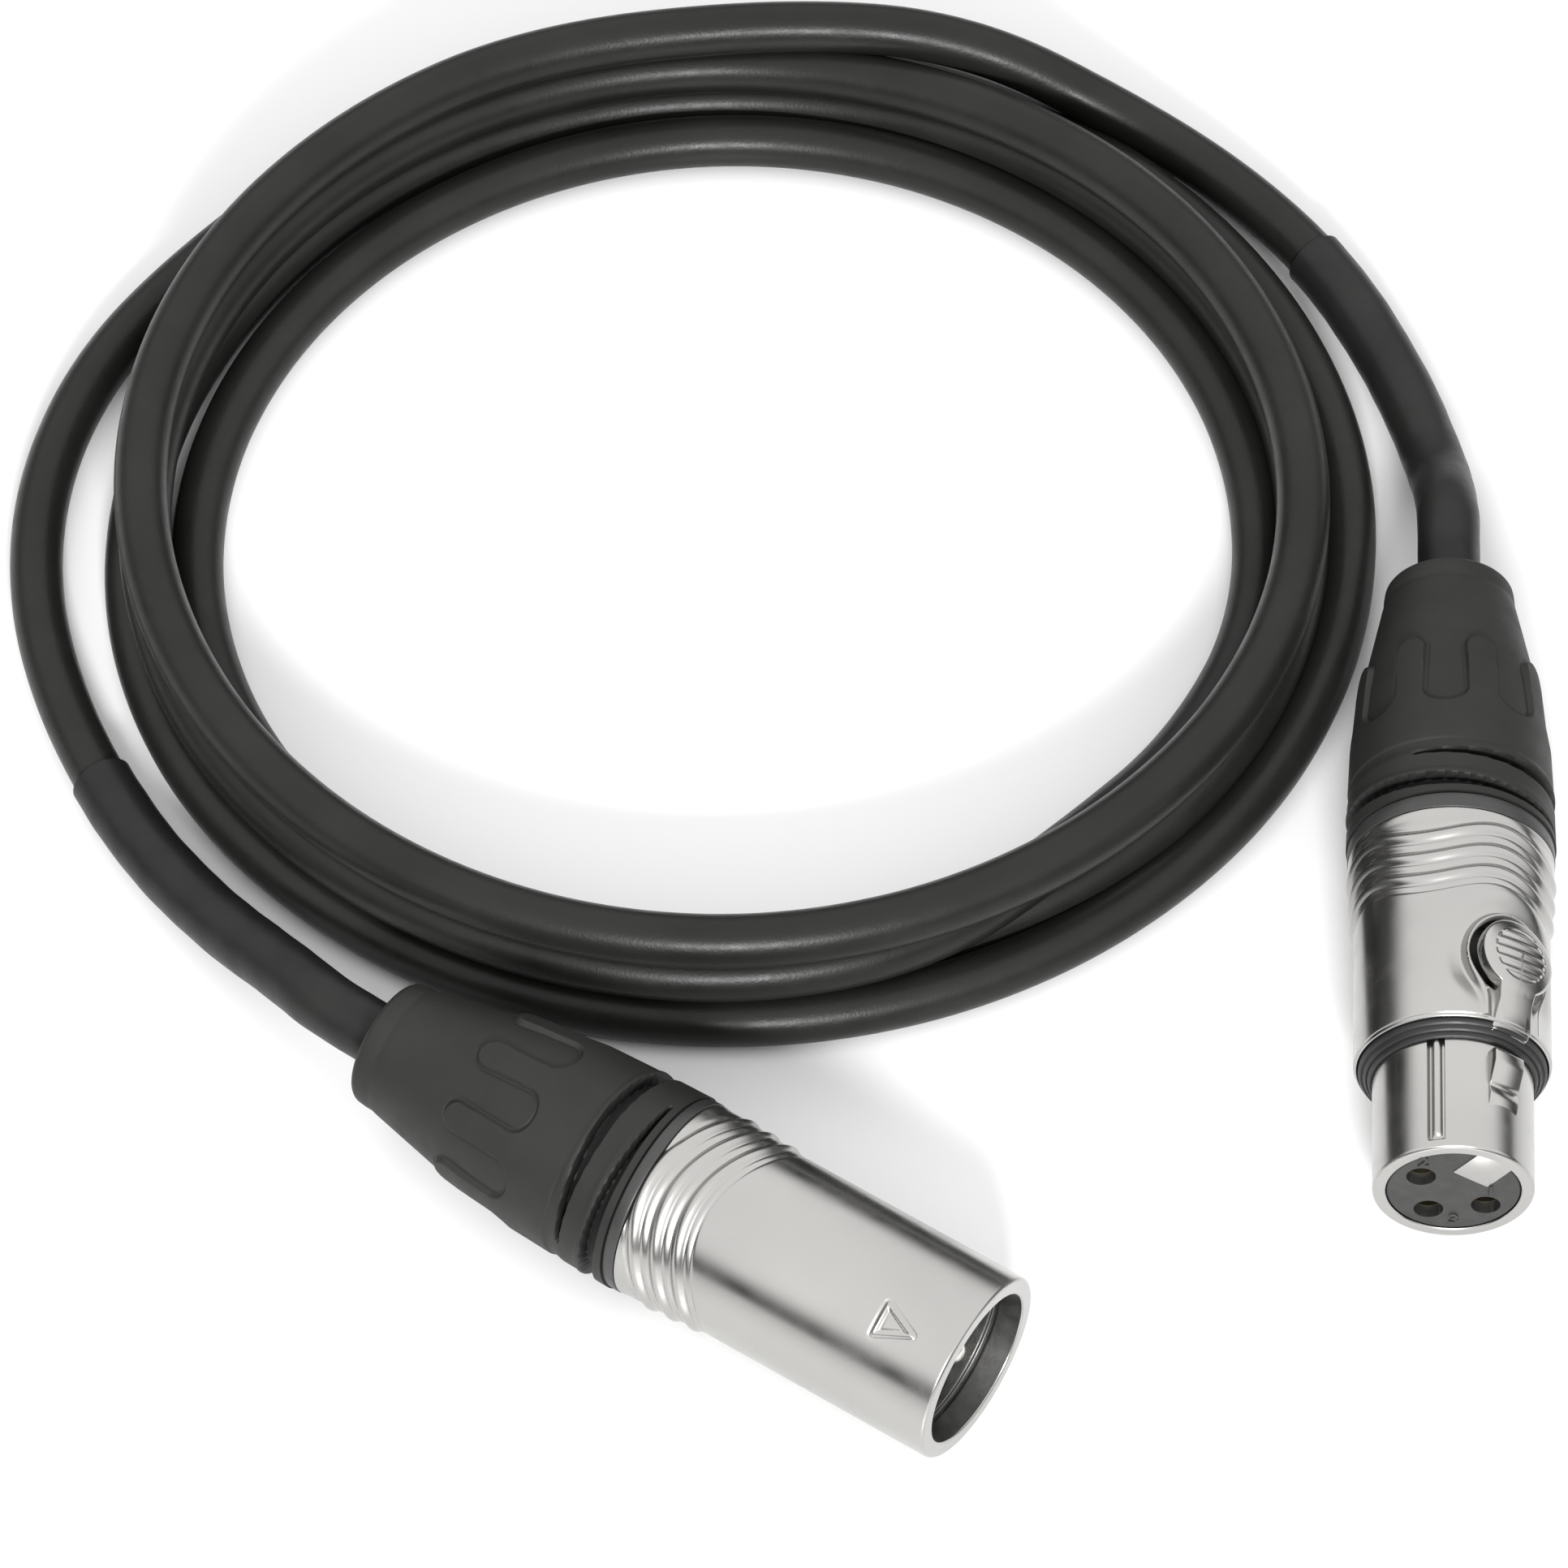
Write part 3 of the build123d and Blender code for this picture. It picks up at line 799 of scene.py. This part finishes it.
def make_female_shell(material):
    """The waved body and the barrel, cut for the button, its neck and the hook."""
    outline = [
        (SPIGOT_R, SPIGOT_END_Z), (SPIGOT_R, FEMALE_EDGE_Z), (SHELL_R, FEMALE_EDGE_Z),
        (SHELL_R, SHOULDER_Z - 0.42), (9.6, SHOULDER_Z - 0.36), (9.62, SHOULDER_Z - 0.08),
        (9.45, SHOULDER_Z + 0.02), (9.3, SHOULDER_Z - 0.5), (BARREL_R, SHOULDER_Z - 0.5),
        (BARREL_R, FACE_Z - 0.22), (BARREL_R - 0.22, FACE_Z),
        (BARREL_BORE_R + 0.08, FACE_Z), (BARREL_BORE_R, FACE_Z - 0.1),
    ]
    outer = divided(rounded(outline, 0.12), SHELL_SPACING)
    inner = [(BARREL_BORE_R, 23.6), (SHELL_BORE_R, 23.6), (SHELL_BORE_R, SPIGOT_END_Z)]
    vertices, faces = turned(outer + inner, SHELL_SIDES, female_shell_relief)
    shell = make_piece("female_shell_body", vertices, faces, FEMALE, material, "root")
    well = Matrix.Rotation(radians(LATCH_ANGLE), 4, "Z") @ Matrix.Translation((0, 0, BUTTON_Z))
    well = FEMALE @ well @ Matrix.Rotation(pi / 2, 4, "Y")
    tools = [
        pillar(BUTTON_R + WELL_CLEARANCE, 7.0, 12.5, (0, 0), well, 96),
        cutter(*prism(block(6.0, 12.0, BUTTON_Z, 26.5), 2.5, LATCH_ANGLE), FEMALE),
        cutter(*prism(block(5.9, 9.0, *WINDOW_Z), 2.1, LATCH_ANGLE), FEMALE),
    ]
    carve(shell, tools)
    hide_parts("female_shell")
    return shell


def make_key_block(material):
    """The key in the female face, level with the rim."""
    outline = block(2.6, BARREL_BORE_R + 0.25, 35.6, FACE_Z - 0.01)
    vertices, faces = prism(outline, 2.12, LATCH_ANGLE)
    key = make_piece("female_key_block", vertices, faces, FEMALE, material, "root")
    carve(key, [], bevel=0.1)
    return key


def arrow_relief(angle, radius, height):
    """A plain triangle in outline, pointing to the mouth."""
    across = np.radians(wrapped(angle - ARROW_ANGLE)) * radius
    corners = [(-1.6, 27.2), (1.6, 27.2), (0.0, 30.7)]
    near = np.full(np.shape(height), 9.0)
    for (x0, z0), (x1, z1) in zip(corners, corners[1:] + corners[:1]):
        dx, dz = x1 - x0, z1 - z0
        share = np.clip(((across - x0) * dx + (height - z0) * dz) / (dx * dx + dz * dz), 0, 1)
        near = np.minimum(near, np.hypot(across - x0 - share * dx, height - z0 - share * dz))
    return 0.14 * bump(near, 0.17) - 0.1 * bump(near - 0.4, 0.14)


def male_shell_relief(angle, radius, height):
    body = radius > SHELL_R - 0.05
    rings = ring_relief(angle, height, 1.95, 2, 1.45, 118, MALE_EDGE_Z)
    change = np.where(body, rings + arrow_relief(angle, radius, height), 0)
    mouth = (np.abs(radius - SHELL_BORE_R) < 0.05) & (height > 33.4)
    side = np.abs(wrapped(angle - MOUTH_NOTCH_ANGLE))
    notch = 0.5 * smooth((27 - side) / 1.2) + 0.35 * smooth((13 - side) / 1.2)
    return change + np.where(mouth, notch, 0)


def make_male_shell(material, shaded_bore_material):
    """The waved body and its open mouth, with a rougher finish and painted shade inside."""
    outline = [
        (SPIGOT_R, SPIGOT_END_Z), (SPIGOT_R, MALE_EDGE_Z), (SHELL_R, MALE_EDGE_Z),
        (SHELL_R, MOUTH_Z - 0.25), (SHELL_R - 0.2, MOUTH_Z - 0.04), (SHELL_R - 0.35, MOUTH_Z),
        (SHELL_BORE_R + 0.14, MOUTH_Z), (SHELL_BORE_R, MOUTH_Z - 0.12), (SHELL_BORE_R, 33.3),
        (SHELL_BORE_R + 0.01, 32.5), (SHELL_BORE_R + 0.4, 32.4), (SHELL_BORE_R + 0.4, 31.9),
        (SHELL_BORE_R + 0.1, 31.8), (SHELL_BORE_R + 0.1, 17.0),
    ]
    outer = divided(rounded(outline, 0.12), SHELL_SPACING)
    inner = [(SHELL_BORE_R, 15.0), (SHELL_BORE_R, SPIGOT_END_Z)]
    vertices, faces = turned(outer + inner, SHELL_SIDES, male_shell_relief)
    shell = make_piece("male_shell_body", vertices, faces, MALE, material, "root")
    shell.data.materials.append(shaded_bore_material)
    # Painted shade: the faces inside the mouth take the darker bore material
    back = MALE.inverted()
    for face in shell.data.polygons:
        x, y, z = back @ face.center
        face.material_index = int(np.hypot(x, y) < SHELL_BORE_R + 0.6 and z < MOUTH_Z - 0.2)
    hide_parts("male_shell")
    return shell


def make_gasket(material):
    """The stepped rubber ring on the female shoulder."""
    outline = rounded([
        (BARREL_R + 0.02, 24.7), (9.28, 24.7), (9.28, 25.5), (9.05, 25.75), (8.85, 25.65),
        (8.75, 26.0), (8.55, 26.2), (8.4, 26.05), (8.32, 26.55), (8.1, 26.7),
        (BARREL_R + 0.02, 26.6),
    ], 0.1)
    vertices, faces = turned(outline, GASKET_SIDES)
    gasket = make_piece("seal_ring_shape", vertices, faces, FEMALE, material, "root")
    carve(gasket, [cutter(*prism(block(6.0, 12.0, 24.0, 28.0), 2.4, LATCH_ANGLE), FEMALE)])
    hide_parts("seal_ring")
    return gasket


# Latch

def button_outline(count=220):
    """Round the button and down the neck: (across, ahead) points, and the spine of each."""
    edge, spine = [], []
    for i in range(count):
        turn = 2 * pi * i / count
        spread_out = Vector((sin(turn), -cos(turn)))
        reach = 0.0
        while reach < 12:
            reach += 0.02
            across, ahead = spread_out * reach
            button = np.hypot(across, ahead) - BUTTON_R
            waist = 0.28 * max(0, 1 - abs(ahead - 5.2) / 2.2)
            neck = max(abs(across) - NECK_HALF + waist, ahead - NOSE_END, -ahead)
            if min(button, neck) > 0:
                break
        edge.append((across, ahead))
        spine.append((0.0, min(max(ahead, 0.0), NOSE_END - NECK_HALF) * 0.9))
    return np.array(edge), np.array(spine)


def make_button(material):
    """Domed button with straight grip ribs, its neck and its bevelled nose."""
    edge, spine = button_outline()
    count = len(edge)
    shares = [1.0, 1.0, 0.985, 0.955, 0.915] + list(np.linspace(0.88, 0.02, 44))
    heights_down = [1.3, 0.3, 0.12, 0.03, 0.0] + [0.0] * 44
    rows = []
    for share, drop in zip(shares, heights_down):
        flat = spine + (edge - spine) * share
        across, ahead = flat[:, 0], flat[:, 1]
        slope = 0.85 * smooth((ahead - 3.4) / 4.4) + 0.55 * smooth((ahead - 7.4) / 1.1)
        dome = 0.03 * np.hypot(across, np.minimum(ahead, BUTTON_R)) ** 2
        top = BUTTON_TOP - dome - slope - drop * (1 - 0.55 * smooth((ahead - 6.6) / 1.0))
        inside = smooth((3.1 - np.hypot(across, ahead)) / 0.3)
        ribs = 0.5 + 0.5 * np.cos(2 * pi * ahead / 1.05)
        top = top + (0.2 * ribs**2 - 0.12) * inside * (drop == 0.0)
        rows.append(np.stack([top, across, ahead + BUTTON_Z], -1))
    points = np.concatenate(rows)
    faces = band_faces(len(rows), count)
    faces.append(tuple((len(rows) - 1) * count + i for i in range(count)))
    faces.append(tuple(range(count))[::-1])
    turn = Matrix.Rotation(radians(LATCH_ANGLE), 4, "Z")
    button = make_piece(
        "latch_button", points, faces, FEMALE @ turn, material, "latch", 50
    )
    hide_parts("latch_lever")
    return button


def make_lever_piece(name, outline, bevel, material):
    """One straight-sided piece of the latch's lever."""
    vertices, faces = prism(outline, LEVER_HALF, LATCH_ANGLE)
    piece = make_piece(name, vertices, faces, FEMALE, material, "latch")
    carve(piece, [], bevel=bevel)


def make_lever(material):
    """The latch's hook in the window, the arm that carries it and the button's stem."""
    tooth = [
        (6.05, 27.6), (8.75, 27.6), (8.95, 27.9), (8.95, 29.2), (8.2, 31.2), (7.85, 31.5),
        (7.95, 31.9), (8.1, 32.6), (7.9, 33.6), (7.3, 34.5), (7.25, 34.9), (6.05, 34.9),
    ]
    make_lever_piece("latch_tooth", rounded(tooth, 0.25), 0.14, material)
    make_lever_piece("latch_arm", block(4.6, 6.1, 7.0, 34.7), 0.15, material)
    make_lever_piece("latch_stem", block(6.0, 8.9, 14.6, 24.4), 0.15, material)


# Inserts

def make_insert(material):
    """The female insert: three holes, and a waist that the pressed button clears."""
    waist_start, waist_end = INSERT_WAIST_Z
    outline = rounded([
        (INSERT_CORE_R, INSERT_REAR_Z), (INSERT_R, INSERT_REAR_Z), (INSERT_R, waist_start),
        (INSERT_WAIST_R, waist_start), (INSERT_WAIST_R, waist_end), (INSERT_NOSE_R, waist_end),
        (INSERT_NOSE_R, FACE_Z - 0.25), (6.4, FACE_Z - 0.12), (INSERT_CORE_R, FACE_Z - 0.12),
    ], 0.1)
    vertices, faces = turned(outline, PLAIN_SIDES, closed=False)
    last_row = (len(outline) - 1) * PLAIN_SIDES
    faces.append(tuple(range(PLAIN_SIDES))[::-1])
    faces.append(tuple(last_row + i for i in range(PLAIN_SIDES)))
    insert = make_piece("female_insert_shape", vertices, faces, FEMALE, material, "root")
    tools = [
        pillar(CONTACT_HOLE_R, 4.0, 42.0, at_angle(CONTACT_CIRCLE_R, angle), FEMALE)
        for angle in FEMALE_CONTACT_ANGLES
    ]
    # This slot is not opened fully: the insert's skin stays across it, behind the nose
    tools.append(cutter(*prism(block(SLOT_FLOOR, 10.0, 5.0, 42.0), SLOT_HALF, LATCH_ANGLE), FEMALE))
    carve(insert, tools, bevel=0.13, tolerant=True)
    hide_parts("female_insert")
    return insert


def make_number(digit, across, up, material):
    """A small raised number on the female face, upright as the face is seen."""
    text = bpy.data.curves.new("number", "FONT")
    text.body = digit
    text.size = NUMBER_SIZE
    text.extrude = 0.12
    text.bevel_depth = 0.06
    text.bevel_resolution = 1
    text.align_x = "CENTER"
    text.align_y = "CENTER"
    holder = bpy.data.objects.new("number", text)
    mesh = bpy.data.meshes.new_from_object(holder)
    bpy.data.objects.remove(holder)
    mesh.transform(FEMALE @ Matrix.Translation((across, up, FACE_Z - 0.12)))
    number = bpy.data.objects.new("female_number_" + digit, mesh)
    bpy.context.scene.collection.objects.link(number)
    mesh.materials.clear()
    mesh.materials.append(material)
    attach(number, "root")
    return number


# Scene

HORIZON_LIGHT = 0.02
SKY_LIGHT = 1.5
FLOOR_HALF = 6.0
SOFTBOX_PLACE = (0.05, -1.15, 0.68)
SOFTBOX_SIZE = (0.3, 0.14)
SOFTBOX_POWER = 22
LENS_LENGTH = 198.7
CAMERA_PLACE = (0.0057, -0.55044, 0.71243)
CAMERA_TILT = 36.2


def finish_node(name, material):
    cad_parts[name].data.materials.clear()
    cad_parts[name].data.materials.append(material)


def area_light(name, place, target, size, power):
    lamp = bpy.data.lights.new(name, "AREA")
    lamp.shape = "RECTANGLE"
    lamp.size, lamp.size_y = size
    lamp.energy = power
    holder = bpy.data.objects.new(name, lamp)
    bpy.context.scene.collection.objects.link(holder)
    holder.location = place
    aim = Vector(target) - Vector(place)
    holder.rotation_euler = aim.to_track_quat("-Z", "Y").to_euler()


def make_stage():
    """A pale floor, a sky that is brightest overhead, and one softbox in front."""
    mesh = bpy.data.meshes.new("floor")
    corners = [(-1, -1), (1, -1), (1, 1), (-1, 1)]
    mesh.from_pydata([(x * FLOOR_HALF, y * FLOOR_HALF, 0) for x, y in corners], [], [(0, 1, 2, 3)])
    floor = bpy.data.objects.new("floor", mesh)
    bpy.context.scene.collection.objects.link(floor)
    mesh.materials.append(floor_material())

    world = bpy.data.worlds.new("studio")
    bpy.context.scene.world = world
    world.use_nodes = True
    nodes, links = world.node_tree.nodes, world.node_tree.links
    way = nodes.new("ShaderNodeTexCoord").outputs["Generated"]
    parts = nodes.new("ShaderNodeSeparateXYZ")
    links.new(way, parts.inputs["Vector"])
    rise = spread(nodes, links, parts.outputs["Z"], HORIZON_LIGHT, SKY_LIGHT, 0.13, 0.5)
    rise.node.interpolation_type = "SMOOTHSTEP"
    nodes["Background"].inputs["Color"].default_value = (1, 1, 1, 1)
    links.new(rise, nodes["Background"].inputs["Strength"])

    area_light("front_softbox", SOFTBOX_PLACE, (0, -0.02, 0), SOFTBOX_SIZE, SOFTBOX_POWER)


def make_camera():
    lens = bpy.data.cameras.new("camera")
    lens.sensor_width = 36
    lens.lens = LENS_LENGTH
    lens.clip_start = 0.05
    lens.clip_end = 30
    camera = bpy.data.objects.new("camera", lens)
    bpy.context.scene.collection.objects.link(camera)
    camera.location = CAMERA_PLACE
    camera.rotation_euler = (radians(CAMERA_TILT), 0, 0)
    bpy.context.scene.camera = camera


make_camera()
make_stage()
bpy.context.scene.view_settings.view_transform = "Standard"

jacket = jacket_material()
sleeve_finish = sleeve_material()
boot_finish = boot_material()
nickel = nickel_material()
latch_nickel = nickel_material("nickel_latch", (0.14, 0.24))
shaded_bore_nickel = shaded_bore_material()
rubber = rubber_material()
insert_finish = insert_material()
nut_finish = hard_plastic_material()
contact = contact_material()
pin_finish = pin_material()
spring_finish = spring_material()
copper = wire_material("bare_copper", (0.55, 0.25, 0.14), (0.7, 0.36, 0.22), 1.0)
red = wire_material("red_core", (0.35, 0.02, 0.015), (0.45, 0.035, 0.025))
white = wire_material("white_core", (0.6, 0.6, 0.57), (0.72, 0.72, 0.69))

cable = make_cord(jacket)
line = cord_line(cable)
for name, place, end in zip(("female", "male"), (FEMALE, MALE), SLEEVE_ENDS):
    start = axis_point(place, SLEEVE_START)
    make_sleeve(name + "_lead_sleeve", line, start, end, sleeve_finish)

make_boot("female_boot", FEMALE, "female_boot", 0, boot_finish)
make_boot("male_boot", MALE, "male_boot", MALE_BOOT_TURN, boot_finish)
make_nut("female_gland_nut", FEMALE, FEMALE_EDGE_Z, "female_boot", nut_finish)
make_nut("male_gland_nut", MALE, MALE_EDGE_Z, "male_boot", nut_finish)
make_female_shell(nickel)
make_key_block(nickel)
make_male_shell(nickel, shaded_bore_nickel)
make_gasket(rubber)
make_button(latch_nickel)
make_lever(latch_nickel)
make_insert(insert_finish)
make_number("1", 3.6, 0.2, insert_finish)
make_number("2", -3.2, 4.9, insert_finish)
make_number("3", 0.3, -4.9, insert_finish)

for number in (1, 2, 3):
    finish_node(f"female_contact_{number}", contact)
    finish_node(f"male_pin_{number}", pin_finish)
for name in ("female", "male"):
    finish_node(name + "_jacket_end", jacket)
    finish_node(name + "_cable_chuck", nut_finish)
    finish_node(name + "_shield_conductor", copper)
    finish_node(name + "_hot_conductor", red)
    finish_node(name + "_cold_conductor", white)
finish_node("male_insert", insert_finish)
finish_node("latch_spring", spring_finish)
finish_node("latch_pivot_pin", spring_finish)
